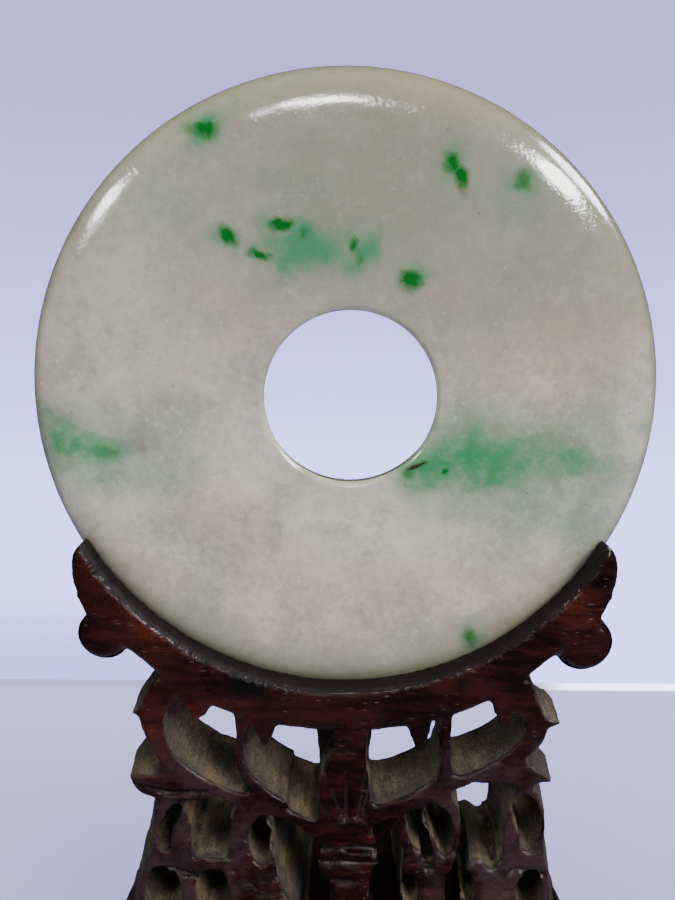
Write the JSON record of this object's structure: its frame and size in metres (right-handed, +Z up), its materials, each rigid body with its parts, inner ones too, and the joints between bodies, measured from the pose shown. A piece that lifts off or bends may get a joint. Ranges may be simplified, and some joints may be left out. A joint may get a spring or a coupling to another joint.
{
  "type": "jade bi disc on a carved wood stand",
  "caption": "Pale mottled jade ring disc with soft rounded rim, upright in the crescent cradle of an openwork carved hardwood stand.",
  "frame": {"origin": "on the ground, in the middle of the underside of the stand's oval foot", "axes": "+Z up, +X to the right of someone facing the disc, -Y towards that person"},
  "size_m": [0.075, 0.03, 0.12],
  "materials": {
    "jade": "polished, waxy, slightly translucent",
    "hardwood": "waxed dark red-brown faces, raw olive-brown sawn inner walls"
  },
  "bodies": {
    "root": {"bi_disc": "jade", "carved_stand": "hardwood"}
  },
  "joints": []
}
